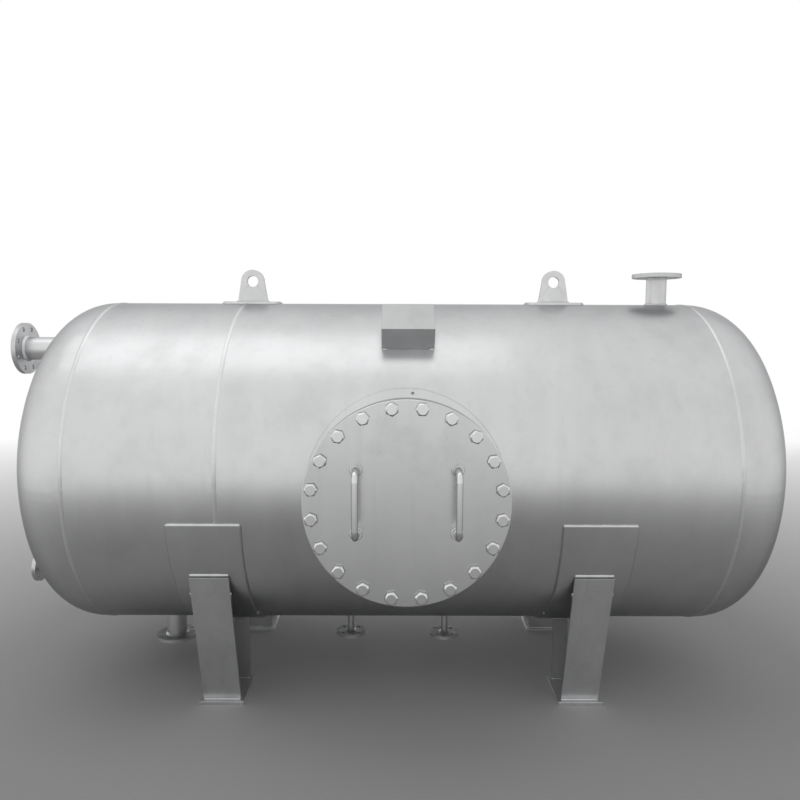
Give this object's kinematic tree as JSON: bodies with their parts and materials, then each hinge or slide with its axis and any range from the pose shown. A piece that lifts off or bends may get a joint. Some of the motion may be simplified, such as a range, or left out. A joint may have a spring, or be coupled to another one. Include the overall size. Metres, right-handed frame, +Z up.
{
  "type": "horizontal pressure tank",
  "caption": "Horizontal cylindrical pressure tank with dished ends, a bolted manway, flanged nozzles, lifting lugs and four legs on saddle pads",
  "frame": {"origin": "on the floor, midway between the four anchor bolt holes", "axes": "+X along the tank towards the end with no nozzles, -Y towards the manway, +Z up"},
  "size_m": [2.9023, 1.4765, 1.554],
  "materials": {
    "silver_paint": "satin",
    "gasket": "matte"
  },
  "bodies": {
    "root": {"shell_short_course": "silver_paint", "shell_long_course": "silver_paint", "head_left": "silver_paint", "head_right": "silver_paint", "girth_welds": "silver_paint", "manway_neck": "silver_paint", "manway_flange": "silver_paint", "manway_gasket": "gasket", "manway_cover": "silver_paint", "manway_pad": "silver_paint", "cover_handle_left": "silver_paint", "cover_handle_right": "silver_paint", "nameplate_bracket": "silver_paint", "lug_pad_left": "silver_paint", "lug_pad_right": "silver_paint", "lifting_lug_left": "silver_paint", "lifting_lug_right": "silver_paint", "top_nozzle": "silver_paint", "top_nozzle_flange": "silver_paint", "bottom_nozzle": "silver_paint", "bottom_nozzle_flange": "silver_paint", "drain_left": "silver_paint", "drain_left_flange": "silver_paint", "drain_right": "silver_paint", "drain_right_flange": "silver_paint", "end_nozzle_upper": "silver_paint", "end_nozzle_upper_flange": "silver_paint", "end_nozzle_lower": "silver_paint", "end_nozzle_lower_flange": "silver_paint", "saddle_pad_left": "silver_paint", "saddle_pad_right": "silver_paint", "leg_faces_left": "silver_paint", "leg_faces_right": "silver_paint", "leg_sides_left": "silver_paint", "leg_sides_right": "silver_paint", "leg_backs_left": "silver_paint", "leg_backs_right": "silver_paint", "feet_left": "silver_paint", "feet_right": "silver_paint"}
  },
  "joints": []
}
